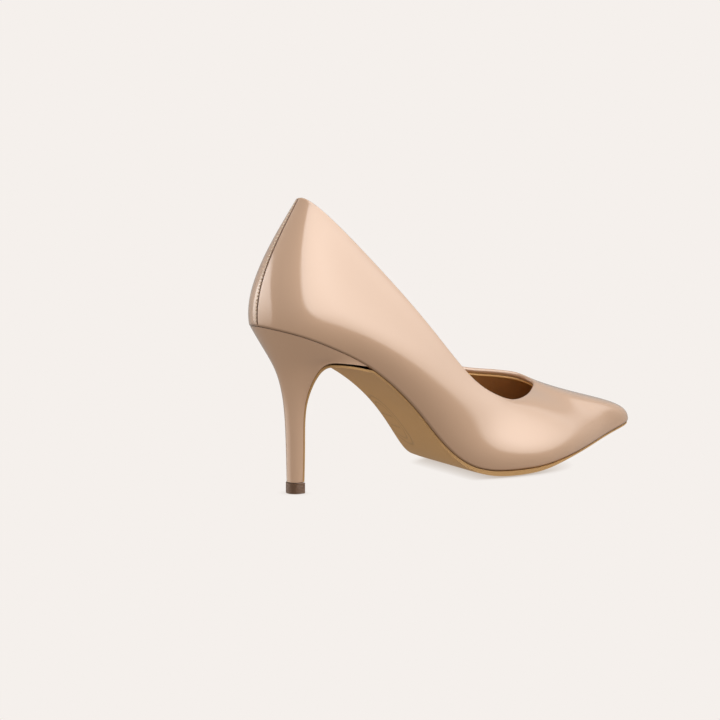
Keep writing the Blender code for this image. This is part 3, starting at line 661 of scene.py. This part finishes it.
def upper_rings(start, stop, count):
    """Sections of the folded upper between two seams, as (column, point, 3).

    Each section runs from the turned-in margin round the feather edge, up the wall, over the rolled
    topline and down the inside. start and stop hold the rib number at the foot and at the top. The
    painted seam shade falls off as a bell curve from the seams and from the feather edge, where the
    joints fall into shade."""
    share = seam_columns(count)
    rows = 1 - (1 - np.linspace(0, 1, WALL_ROWS)) ** ROWS_TO_TOPLINE
    first = start[0] + (start[1] - start[0]) * rows
    last = stop[0] + (stop[1] - stop[0]) * rows
    rib = first[None, :] + (last - first)[None, :] * share[:, None]
    foot_speed, top_speed = end_speeds(rib)
    low = FEATHER_ROUND / foot_speed
    v = low + (1 - low) * rows[None, :]
    normal, upward = wall_frame(rib, v)
    outer = wall(rib, v)
    run = np.linalg.norm(np.gradient(outer, axis=0), axis=-1).cumsum(axis=0)
    distance = np.minimum(run - run[:1], run[-1:] - run)
    sunk = edge_tuck(distance, EDGE_ROLL)[..., None]
    drop = (1 - v) * top_speed
    thick = UPPER_THICK + (FOLD_THICK - UPPER_THICK) * smooth_step((FOLD_FROM - drop) / FOLD_RAMP)
    inner = outer - normal * thick[..., None]
    outer = outer - normal * sunk

    angle = np.linspace(0, math.pi, 9)[1:-1][None, :, None]
    middle = (outer[:, -1:] + inner[:, -1:]) / 2
    across = (outer[:, -1:] - inner[:, -1:]) / 2
    roll = middle + across * np.cos(angle) + upward[:, -1:] * FOLD_THICK / 2 * FOLD_ROUND * np.sin(angle)

    edge_rib = rib[:, 0]
    values = rib_values(edge_rib)
    away = outward(edge_rib, slice(0, 2))
    turned = []
    for level, wall_foot in ((0, outer[:, :1]), (UPPER_THICK, inner[:, :1])):
        margin = [bottom_points(values[:, 0] - inset * away[:, 0], values[:, 1] - inset * away[:, 1], level)
                  for inset in (*MARGIN_INSETS, FEATHER_ROUND)]
        margin = np.stack(margin, axis=1)
        corner = bottom_points(values[:, 0] - level * away[:, 0], values[:, 1] - level * away[:, 1], level)
        t = np.linspace(0, 1, 6)[1:-1][None, :, None]
        bend = margin[:, -1:] * (1 - t) ** 2 + 2 * corner[:, None] * t * (1 - t) + wall_foot * t ** 2
        turned.append(np.concatenate([margin, bend], axis=1))
    rings = np.concatenate([turned[0], outer, roll, inner[:, ::-1], turned[1][:, ::-1]], axis=1)
    # Painted shade: darker next to the two seams and just above the feather edge, and on the whole turned-in
    # margin.
    seam_shade = np.exp(-(distance / SEAM_SHADE_WIDTH) ** 2)
    seam_shade = seam_shade + FEATHER_SHADE * np.exp(-(v * foot_speed / SEAM_SHADE_WIDTH) ** 2)
    around = np.zeros(rings.shape[:2])
    around[:, turned[0].shape[1]:][:, :outer.shape[1]] = np.clip(seam_shade, 0, 1)
    around[:, :turned[0].shape[1]] = FEATHER_SHADE
    return rings, around.ravel()


def lining_rings(count):
    """Sections of the lining all round the shoe: outer face, rounded rim and inner face."""
    rib = np.linspace(0, BACK_SEAM_RIB, count, endpoint=False)[:, None]
    foot_speed, top_speed = end_speeds(rib)
    rows = np.linspace(0, 1, LINING_ROWS)[None, :]
    low, high = LINING_FOOT / foot_speed, 1 - LINING_DROP / top_speed
    v = low + (high - low) * rows
    rib = np.broadcast_to(rib, v.shape)
    normal, upward = wall_frame(rib, v)
    face = wall(rib, v)
    outer = face - normal * LINING_DEPTH
    inner = face - normal * (LINING_DEPTH + LINING_THICK)
    angle = np.linspace(0, math.pi, LINING_RIM + 2)[1:-1][None, :, None]
    middle, across = (outer[:, -1:] + inner[:, -1:]) / 2, (outer[:, -1:] - inner[:, -1:]) / 2
    rim = middle + across * np.cos(angle) + upward[:, -1:] * LINING_THICK * 0.25 * np.sin(angle)
    pale = np.zeros(2 * LINING_ROWS + LINING_RIM)
    pale[LINING_ROWS - 1:LINING_ROWS + LINING_RIM + 1] = 1
    return np.concatenate([outer, rim, inner[:, ::-1]], axis=1), pale


# ---------------------------------------------------------------- bottom

def outline(inset, side):
    """The feather line of one side as x and y rising with x, moved inwards by inset (a function of x)."""
    rib = np.linspace(0 if side == "lateral" else BACK_SEAM_RIB, TOE_RIB, 500)
    points = rib_values(rib)[:, :2]
    points = points - inset(points[:, 0])[:, None] * outward(rib, slice(0, 2))[:, :2]
    return points[np.argsort(points[:, 0])]


def path_offset(path, distance):
    """A path in the XZ plane moved to its right-hand side as seen from -Y; distance is (point, copy)."""
    run = np.gradient(path, axis=0)
    normal = np.stack([run[:, 1], -run[:, 0]], axis=-1)
    normal /= np.linalg.norm(normal, axis=1, keepdims=True)
    return path[:, None, :] + normal[:, None, :] * distance[..., None]


def sole_rings():
    """Sections of the outsole from the foot of the stem, up the heel's front and on to the toe.

    Each section is a flat top and a cambered underside; the edge number is 1 on the rim."""
    front = HEEL_EDGE(np.linspace(HEEL_KEYS, 0, 90))
    flap = np.linspace(SOLE_FLAP_THICK, SOLE_SECTIONS[0, 1], len(front))[:, None]
    middle = STEM_Y * np.clip((62 - front[:, 2]) / 20, 0, 1)
    up = np.column_stack([front[:, 0], front[:, 2], middle - front[:, 1], middle + front[:, 1], flap, flap])
    lines = [outline(lambda x: -SOLE_SHAPE(x)[..., 2], side) for side in ("lateral", "medial")]
    toe = min(line[-1, 0] for line in lines) - 0.02
    x = SOLE_SECTIONS[0, 0] + (toe - SOLE_SECTIONS[0, 0]) * np.sin(np.linspace(0, math.pi / 2, 150))
    edges = [np.interp(x, line[:, 0], line[:, 1]) for line in lines]
    along = np.column_stack([x, bottom_height(x, 0 * x), *edges, SOLE_SHAPE(x)[:, :2]])
    stations = np.vstack([up, along])
    path = stations[:, :2]
    share = (1 - np.cos(np.linspace(0, math.pi, SOLE_ACROSS))) / 2
    y = stations[:, 2:3] * (1 - share) + stations[:, 3:4] * share
    rise = bottom_height(path[:, :1], y) - bottom_height(path[:, :1], 0 * y)
    camber = 1 - np.abs(2 * share - 1) ** 6
    depth = stations[:, 5:6] + (stations[:, 4:5] - stations[:, 5:6]) * camber
    layers = []
    for distance in (0 * y, depth):
        line = path_offset(path, SOLE_GAP + distance)
        layers.append(np.stack([line[..., 0], y, line[..., 1] + rise], axis=-1))
    rings = np.concatenate([layers[1], layers[0][:, ::-1]], axis=1)
    edge = np.zeros(2 * SOLE_ACROSS)
    edge[[0, SOLE_ACROSS - 1, SOLE_ACROSS, -1]] = 1
    return rings, np.tile(edge, len(rings))


def sock_line(side):
    """Edge of the sock on one side, as x and y: it meets the inner face of the lining at its level."""
    rib = np.linspace(0 if side == "lateral" else BACK_SEAM_RIB, TOE_RIB, 300)
    v = SOCK_LEVEL / end_speeds(rib)[0]
    normal = wall_frame(rib, v)[0]
    face = wall(rib, v) - normal * (LINING_DEPTH + LINING_THICK - SOCK_UNDER_LINING)
    slope = bottom_slope(face[:, 0], face[:, 1])
    line = np.column_stack([face[:, 0] + SOCK_LEVEL * slope / np.sqrt(1 + slope ** 2), face[:, 1]])
    return line[np.argsort(line[:, 0])]


def sock_grid():
    """Top and underside of the sock lining over the cushion."""
    lines = [sock_line(side) for side in ("lateral", "medial")]
    low = max(line[0, 0] for line in lines) + 0.05
    share = (1 - np.cos(np.linspace(0, math.pi, 120))) / 2
    x = low + (SOCK_TO - low) * share
    left, right = (np.interp(x, line[:, 0], line[:, 1])[:, None] for line in lines)
    across = (1 - np.cos(np.linspace(0, math.pi, 25))) / 2
    y = left * (1 - across) + right * across
    x = np.broadcast_to(x[:, None], y.shape)
    return bottom_points(x, y, SOCK_LEVEL + SOCK_THICK), bottom_points(x, y, SOCK_LEVEL)


# ---------------------------------------------------------------- heel

def stem_ring(share, grow):
    """Section of the stem: two straight sides and a half-round back, from the outer front corner."""
    half = STEM_HALF + grow
    side = STEM_FRONT - STEM_BACK_CENTRE
    arc = math.pi * half
    run = np.asarray(share) * (2 * side + arc)
    angle = np.clip((run - side) / half, 0, math.pi)
    straight = np.clip(side - run, 0, side) + np.clip(run - side - arc, 0, side)
    x = STEM_BACK_CENTRE + straight - half * np.sin(angle)
    return np.stack([x, STEM_Y - half * np.cos(angle)], axis=-1)


def heel_surface(share, down, depth=0.0):
    """A face of the heel at a depth inside its outer face.

    Between the seat ring and the stem ring, by the back profile and, near the front, by the front
    edge; share runs round the heel and down from the seat (0) to the foot of the stem."""
    share, down = np.broadcast_arrays(share, down)
    outer_line, inner_line = np.linspace(0, 4, 400), np.linspace(0, -4, 400)
    outer = np.interp(HEEL_FRONT[0, 0], rib_values(outer_line)[:, 0], outer_line)
    inner = np.interp(HEEL_FRONT[0, 0], rib_values(inner_line)[:, 0], inner_line)
    rib = np.where(share < 0.5, outer * (1 - 2 * share), inner * (2 * share - 1))
    values = rib_values(rib)
    away = outward(rib, slice(0, 2))
    inset = SEAT_INSET + depth
    seat_x = values[..., 0] - inset * away[..., 0]
    seat_y = values[..., 1] - inset * away[..., 1]
    seat = bottom_points(seat_x, seat_y, -SEAT_GAP)
    foot = stem_ring(share, -depth)
    back = HEEL_BACK_SHARE(down)
    edge = HEEL_EDGE_SHARE(down)
    weight = np.abs(2 * share - 1) ** 2
    x_share = back[..., 0] + (edge[..., 0] - back[..., 0]) * weight
    y_share = back[..., 0] + (edge[..., 1] - back[..., 0]) * weight
    z_share = back[..., 1] + (edge[..., 2] - back[..., 1]) * weight
    x = foot[..., 0] + (seat[..., 0] - foot[..., 0]) * x_share
    y = foot[..., 1] + (seat[..., 1] - foot[..., 1]) * y_share
    z = STEM_FOOT + (seat[..., 2] - STEM_FOOT) * z_share
    return np.stack([x, y, np.clip(z, STEM_FOOT, bottom_height(x, y) - 1.5 * SEAT_GAP)], axis=-1)


def add_shell(name, outer, inner, material, **options):
    """A closed shell between an outward grid and the same grid moved inwards."""
    columns, rows = outer.shape[:2]
    half = columns * rows
    face = grid_quads(columns, rows)
    index = np.arange(half).reshape(columns, rows)
    border = np.concatenate([index[:-1, 0], index[-1, :-1], index[:0:-1, -1], index[0, :0:-1]])
    after = np.roll(border, -1)
    sides = np.stack([after, border, half + border, half + after], axis=1)
    points = np.concatenate([outer.reshape(-1, 3), inner.reshape(-1, 3)])
    return add_mesh(name, points, np.concatenate([face, face[:, ::-1] + half, sides]), material, **options)


def top_piece_rings():
    """Sections of the heel tip from its top to the floor, with shallow grooves round it."""
    share = np.linspace(0, 1, 60)
    ring = stem_ring(share, TOP_PIECE_RIM)
    ring[[0, -1], 0] += SOLE_FLAP_THICK + TOP_PIECE_OUT
    levels = np.linspace(TOP_PIECE_HEIGHT, 0, 60)
    groove = np.abs(np.sin(levels / TOP_PIECE_HEIGHT * math.pi * TOP_PIECE_GROOVES)) ** 0.5
    foot = edge_tuck(levels, TOP_PIECE_ROUND)
    factor = 1 - (TOP_PIECE_GROOVE_DEPTH * (1 - groove) + foot) / STEM_HALF
    middle = np.array([STEM_BACK_CENTRE, STEM_Y])
    flat = middle + (ring - middle)[None] * factor[:, None, None]
    height = np.broadcast_to(levels[:, None, None], flat.shape[:2] + (1,))
    return np.concatenate([flat, height], axis=-1)


# ---------------------------------------------------------------- stitches

def stitch_mesh(points, normals, along, length, thick):
    """Low arched capsules, one at each point: as many rings as each ring has sides, along a half wave."""
    step = np.linspace(-0.5, 0.5, STITCH_SIDES)
    turn = np.linspace(0, 2 * math.pi, STITCH_SIDES, endpoint=False)
    side = np.cross(normals, along)
    arch = np.cos(step * math.pi)
    size = thick / 2 * np.sqrt(np.clip(1 - (2 * step) ** 6, 0.05, 1))
    centre = points[:, None] + along[:, None] * (step * length)[None, :, None]
    centre = centre + normals[:, None] * ((arch - 0.35) * thick * 0.75)[None, :, None]
    ring = (np.cos(turn)[None, None, :, None] * side[:, None, None] +
            np.sin(turn)[None, None, :, None] * normals[:, None, None])
    rings = centre[:, :, None] + ring * size[None, :, None, None]
    count = len(points)
    first = np.arange(STITCH_SIDES)
    last = (STITCH_SIDES - 1) * STITCH_SIDES + first[::-1]
    side_quads = grid_quads(STITCH_SIDES, STITCH_SIDES, wrap_rows=True)
    one = np.concatenate([side_quads, ladder(first), ladder(last)])
    quads = (one[None] + STITCH_SIDES ** 2 * np.arange(count)[:, None, None]).reshape(-1, 4)
    return rings.reshape(-1, 3), quads


def seam_stitches(rib, aside, low, high, pitch):
    """Places of a row of stitches up the wall beside a rib line, with normals and directions."""
    v = np.linspace(0, 1, 400)
    line = wall(np.full(400, float(rib)), v)
    length = np.concatenate([[0], np.linalg.norm(np.diff(line, axis=0), axis=1).cumsum()])
    at = np.arange(low, length[-1] - high, pitch)
    v = np.interp(at, length, v)
    across = wall(np.full(len(v), rib + 0.01), v) - wall(np.full(len(v), rib - 0.01), v)
    width = np.linalg.norm(across, axis=1) / 0.02
    beside = rib + aside / width
    normal, upward = wall_frame(beside, v)
    return wall(beside, v), normal, upward


# ---------------------------------------------------------------- settings and operators

class PumpSettings(bpy.types.PropertyGroup):
    """Colours and sizes that a user would change."""

    patent_colour: FloatVectorProperty(name="Patent", description="Colour of the patent leather",
                                       subtype="COLOR", default=(0.61, 0.388, 0.25), min=0, max=1)
    patent_gloss: FloatProperty(name="Lacquer roughness", description="Roughness of the clear lacquer",
                                default=0.035, min=0.0, max=1.0)
    lining_colour: FloatVectorProperty(name="Lining", description="Colour of the lining and the sock",
                                       subtype="COLOR", default=(0.52, 0.295, 0.125), min=0, max=1)
    sole_colour: FloatVectorProperty(name="Sole", description="Colour of the outsole",
                                     subtype="COLOR", default=(0.63, 0.365, 0.145), min=0, max=1)
    tip_colour: FloatVectorProperty(name="Heel tip", description="Colour of the heel tip",
                                    subtype="COLOR", default=(0.13, 0.065, 0.032), min=0, max=1)
    thread_colour: FloatVectorProperty(name="Thread", description="Colour of the topstitching",
                                       subtype="COLOR", default=(0.95, 0.80, 0.62), min=0, max=1)
    stitch_pitch: FloatProperty(name="Stitch pitch", description="Distance from stitch to stitch",
                                default=0.0017, min=0.0005, max=0.01, unit="LENGTH", precision=5)
    stitch_thickness: FloatProperty(name="Thread thickness", description="Thickness of the thread",
                                    default=0.0006, min=0.0001, max=0.002, unit="LENGTH", precision=5)
    emboss_depth: FloatProperty(name="Stamp depth", description="Depth of the mark stamped in the sole",
                                default=0.0003, min=0.0, max=0.001, unit="LENGTH", precision=5)
    columns: IntProperty(name="Columns", description="Columns of the mesh for each rib of the upper",
                         default=COLUMNS_PER_RIB, min=2, max=40)
    backdrop_colour: FloatVectorProperty(name="Backdrop", description="Colour of floor and backdrop",
                                         subtype="COLOR", default=(0.913, 0.871, 0.839), min=0, max=1)
    fill_light: FloatProperty(name="Fill", description="Strength of the even light from all sides",
                              default=0.54, min=0.0, max=5.0)
    key_light: FloatProperty(name="Key", description="Radiance of the large soft key light",
                             default=1.15, min=0.0, max=50.0)
    softboxes: FloatProperty(name="Softboxes", description="Radiance of the softboxes seen as reflections",
                             default=4.6, min=0.0, max=50.0)


def settings():
    """The scene's pump settings."""
    return bpy.context.scene.pump


class PUMP_OT_uppers(bpy.types.Operator):
    """Vamp with the outer quarter, and the inner quarter, in patent leather"""

    bl_idname = "pump.uppers"
    bl_label = "Uppers"

    def execute(self, context):
        pump = settings()
        material = patent_leather("nude_patent_upper", pump.patent_colour, pump.patent_gloss)
        seam = np.array(MEDIAL_SEAM)
        back = np.array([BACK_SEAM_RIB, BACK_SEAM_RIB])
        spans = {
            "vamp": ((SEAM_SLIT, SEAM_SLIT), seam - SEAM_SLIT),
            "medial_quarter": (seam + SEAM_SLIT, back - SEAM_SLIT),
        }
        for name, (start, stop) in spans.items():
            # Each upper piece carries its painted seam shade as a per-point number.
            rings, seam_shade = upper_rings(start, stop, int((stop[0] - start[0]) * pump.columns))
            piece = add_sweep(name + "_patent", rings, material, sharp=70, values={"seam_shade": seam_shade})
            settle(piece, "nude_patent", name)
        return {"FINISHED"}


class PUMP_OT_stitches(bpy.types.Operator):
    """Topstitching beside the back seam"""

    bl_idname = "pump.stitches"
    bl_label = "Stitches"

    def execute(self, context):
        pump = settings()
        pitch, thick = pump.stitch_pitch / MM, pump.stitch_thickness / MM
        places = seam_stitches(BACK_SEAM_RIB, -STITCH_ASIDE, STITCH_LOW, STITCH_HIGH, pitch)
        points, quads = stitch_mesh(*places, pitch * STITCH_SHARE, thick)
        material = waxed_thread("waxed_thread", pump.thread_colour)
        settle(add_mesh("back_seam_stitches", points, quads, material), None)
        return {"FINISHED"}


class PUMP_OT_lining(bpy.types.Operator):
    """Lining with its pale cut rim, and the sock lining"""

    bl_idname = "pump.lining"
    bl_label = "Lining"

    def execute(self, context):
        pump = settings()
        material = lining_leather("brown_lining_leather", pump.lining_colour)
        rings, pale = lining_rings(BACK_SEAM_RIB * pump.columns)
        pale = np.tile(pale, len(rings))
        lining = add_sweep("lining_leather", rings, material, closed=True, values={"rim": pale})
        settle(lining, "brown_lining", "lateral_quarter_lining", "vamp_lining", "medial_quarter_lining")
        top, under = sock_grid()
        sock = add_shell("sock_leather", top, under, material, values={"rim": 0.0})
        settle(add_bevel(sock, SOCK_EDGE), "brown_lining", "sock_lining")
        return {"FINISHED"}


class PUMP_OT_outsole(bpy.types.Operator):
    """Outsole, running from the toe under the waist and down the heel's front"""

    bl_idname = "pump.outsole"
    bl_label = "Outsole"

    def execute(self, context):
        pump = settings()
        material = sole_leather("tan_sole_leather", pump.sole_colour, pump.emboss_depth)
        rings, edge = sole_rings()
        sole = add_sweep("outsole_leather", rings, material, values={"edge": edge})
        settle(add_bevel(sole, SOLE_EDGE), "tan_sole", "outsole")
        return {"FINISHED"}


class PUMP_OT_heel(bpy.types.Operator):
    """Patent cover of the heel, and the heel tip"""

    bl_idname = "pump.heel"
    bl_label = "Heel"

    def execute(self, context):
        pump = settings()
        material = patent_leather("nude_patent_heel", pump.patent_colour, pump.patent_gloss)
        share = np.linspace(0, 1, 161)[:, None]
        down = np.linspace(0, HEEL_KEYS, 121)[None, :]
        outer, inner = heel_surface(share, down), heel_surface(share, down, COVER_THICK)
        cover = add_shell("heel_patent", outer, inner, material)
        settle(add_bevel(cover, COVER_EDGE), "nude_patent", "heel_cover")
        rubber = moulded_plastic("brown_tip", pump.tip_colour, 0.4)
        settle(add_sweep("heel_tip", top_piece_rings(), rubber), "tip_rubber", "top_piece")
        return {"FINISHED"}


class PUMP_OT_inner_parts(bpy.types.Operator):
    """Finishes of the boards, shank, stiffeners, heel block and fixings"""

    bl_idname = "pump.inner_parts"
    bl_label = "Inner parts"

    def execute(self, context):
        finishes = {
            "fibre_board": board_fibre("fibre_board", (0.45, 0.33, 0.20)),
            "latex_foam": foam("latex_foam", (0.75, 0.70, 0.58)),
            "stiffener": board_fibre("stiffener_felt", (0.80, 0.76, 0.66)),
            "backing_cloth": woven_cloth("backing_cloth", (0.70, 0.66, 0.58)),
            "heel_plastic": moulded_plastic("heel_plastic", (0.60, 0.55, 0.47)),
            "steel": drawn_steel("drawn_steel", (0.55, 0.55, 0.56)),
        }
        for name, node in frame["nodes"].items():
            finish = finishes.get(SLOTS[name])
            if finish and not node.hide_render:
                node.data.materials.clear()
                node.data.materials.append(finish)
        return {"FINISHED"}


# ---------------------------------------------------------------- stage

def add_light(name, turn, rise, distance, size, radiance):
    """A soft light that faces the shoe and isn't seen in reflections.

    turn is in degrees from the camera round to its right, rise is up from the floor."""
    heading = math.radians(270 - CAMERA_TURN + turn)
    lift = math.radians(rise)
    away = Vector((math.cos(heading) * math.cos(lift), math.sin(heading) * math.cos(lift), math.sin(lift)))
    light = bpy.data.lights.new(name, "AREA")
    light.shape = "RECTANGLE"
    light.size, light.size_y = size
    light.energy = radiance * math.pi * size[0] * size[1]
    lamp = bpy.data.objects.new(name, light)
    middle = (CAD_LOW + CAD_HIGH) / 2
    lamp.location = middle + away * distance
    lamp.rotation_euler = away.to_track_quat("Z", "Y").to_euler()
    lamp.visible_camera = False
    lamp.visible_glossy = False
    bpy.context.scene.collection.objects.link(lamp)


def studio_world(fill, softboxes):
    """Even light from all round, warmer from below, with two softboxes seen only as reflections.

    A softbox is an oval patch of bearing and height, in degrees, with a blurred edge; it fades down."""
    world = bpy.data.worlds.new("studio")
    graph = Graph("studio", world)
    x, y, z = graph.axes(graph.node("ShaderNodeTexCoord"))
    heading = math.radians(270 - CAMERA_TURN)
    nearer = x * math.cos(heading) + y * math.sin(heading)
    righter = y * math.cos(heading) - x * math.sin(heading)
    bearing = graph.maths("ARCTAN2", righter, nearer) * math.degrees(1)
    height = graph.maths("ARCSINE", z) * math.degrees(1)
    patches = 0.0
    for strength, turn, half_width, rise, half_height in SOFTBOXES:
        far = (((bearing - turn) / half_width) ** 2.0 + ((height - rise) / half_height) ** 2.0) ** 0.5
        patches = (1 - far.ramp(1 - SOFTBOX_BLUR, 1)) * strength + patches
    patches = patches * height.ramp(-25, 12) * (1 - bearing.ramp(72, 118) * 0.75)
    glossy = graph.node("ShaderNodeLightPath").part(3)
    tone = graph.mix(z.ramp(-0.7, 0.5), (0.97, 0.89, 0.81, 1), (1.0, 1.0, 1.0, 1))
    even = (z.ramp(-0.8, 1) * 0.95 + 0.80) * (1 - glossy * 0.35) * fill
    light = graph.node("ShaderNodeBackground", None, Color=tone, Strength=patches * glossy * softboxes + even)
    graph.node("ShaderNodeOutputWorld", None, Surface=light)
    return world


def backdrop_material(colour, contact_shadow):
    """Even pale light; a painted contact shadow darkens the floor only close under the shoe."""
    graph = Graph("pale_backdrop")
    shown = tuple(colour) + (1.0,)
    if contact_shadow:
        # Painted shade: ambient occlusion mixes the contact shadow colour into the unlit floor close under
        # the shoe.
        near = graph.node("ShaderNodeAmbientOcclusion", {"samples": 16}, Distance=CONTACT_SHADOW_REACH).part(1)
        shown = graph.mix(near ** 0.5, CONTACT_SHADOW_COLOUR, shown)
    light = graph.node("ShaderNodeEmission", None, Color=shown)
    graph.node("ShaderNodeOutputMaterial", None, Surface=light)
    return graph.owner


class PUMP_OT_stage(bpy.types.Operator):
    """Floor, backdrop, softboxes and camera"""

    bl_idname = "pump.stage"
    bl_label = "Stage"

    def execute(self, context):
        pump = settings()
        bpy.ops.mesh.primitive_circle_add(radius=FLOOR_RADIUS, vertices=96, fill_type="NGON")
        floor = context.object
        floor.name = "floor"
        # The floor gets the painted contact shadow; the backdrop stays even.
        floor.data.materials.append(backdrop_material(pump.backdrop_colour, True))
        bpy.ops.mesh.primitive_uv_sphere_add(radius=BACKDROP_RADIUS, segments=48, ring_count=24)
        backdrop = context.object
        backdrop.name = "backdrop"
        backdrop.data.materials.append(backdrop_material(pump.backdrop_colour, False))
        for thing in (floor, backdrop):
            thing.visible_diffuse = False
            thing.visible_glossy = False
            thing.visible_shadow = False
            thing.visible_transmission = False
        add_light("key_light", *KEY_DIRECTION, LIGHT_DISTANCE, KEY_SIZE, pump.key_light)
        context.scene.world = studio_world(pump.fill_light, pump.softboxes)

        turn, drop = math.radians(CAMERA_TURN), math.radians(CAMERA_DROP)
        looking = Vector((math.sin(turn) * math.cos(drop), math.cos(turn) * math.cos(drop), -math.sin(drop)))
        data = bpy.data.cameras.new("camera")
        data.lens = CAMERA_LENS
        data.sensor_width = 36
        data.clip_start, data.clip_end = 0.05, 40
        camera = bpy.data.objects.new("camera", data)
        camera.location = Vector(CAMERA_AIM) - looking * CAMERA_DISTANCE
        camera.rotation_euler = looking.to_track_quat("-Z", "Y").to_euler()
        context.scene.collection.objects.link(camera)
        context.scene.camera = camera
        context.scene.view_settings.view_transform = "Standard"
        context.scene.view_settings.look = "None"
        return {"FINISHED"}


OPERATORS = (PUMP_OT_uppers, PUMP_OT_stitches, PUMP_OT_lining, PUMP_OT_outsole, PUMP_OT_heel,
             PUMP_OT_inner_parts, PUMP_OT_stage)


class PUMP_PT_panel(bpy.types.Panel):
    """Lists the pump's settings and its pieces"""

    bl_idname = "PUMP_PT_panel"
    bl_label = "High Heel Pump"
    bl_space_type = "VIEW_3D"
    bl_region_type = "UI"
    bl_category = "Pump"

    def draw(self, context):
        for name in PumpSettings.__annotations__:
            self.layout.prop(context.scene.pump, name)
        for operator in OPERATORS:
            self.layout.operator(operator.bl_idname)


CLASSES = (PumpSettings, *OPERATORS, PUMP_PT_panel)


def register():
    """Makes the settings, operators and panel known to Blender."""
    for cls in CLASSES:
        bpy.utils.register_class(cls)
    bpy.types.Scene.pump = PointerProperty(type=PumpSettings)


def unregister():
    """Takes them away again."""
    del bpy.types.Scene.pump
    for cls in reversed(CLASSES):
        bpy.utils.unregister_class(cls)


def main():
    """Builds every shown piece and the stage."""
    register()
    for operator in OPERATORS:
        group, name = operator.bl_idname.split(".")
        getattr(getattr(bpy.ops, group), name)()
    bpy.context.view_layer.update()


if __name__ == "__main__":
    main()
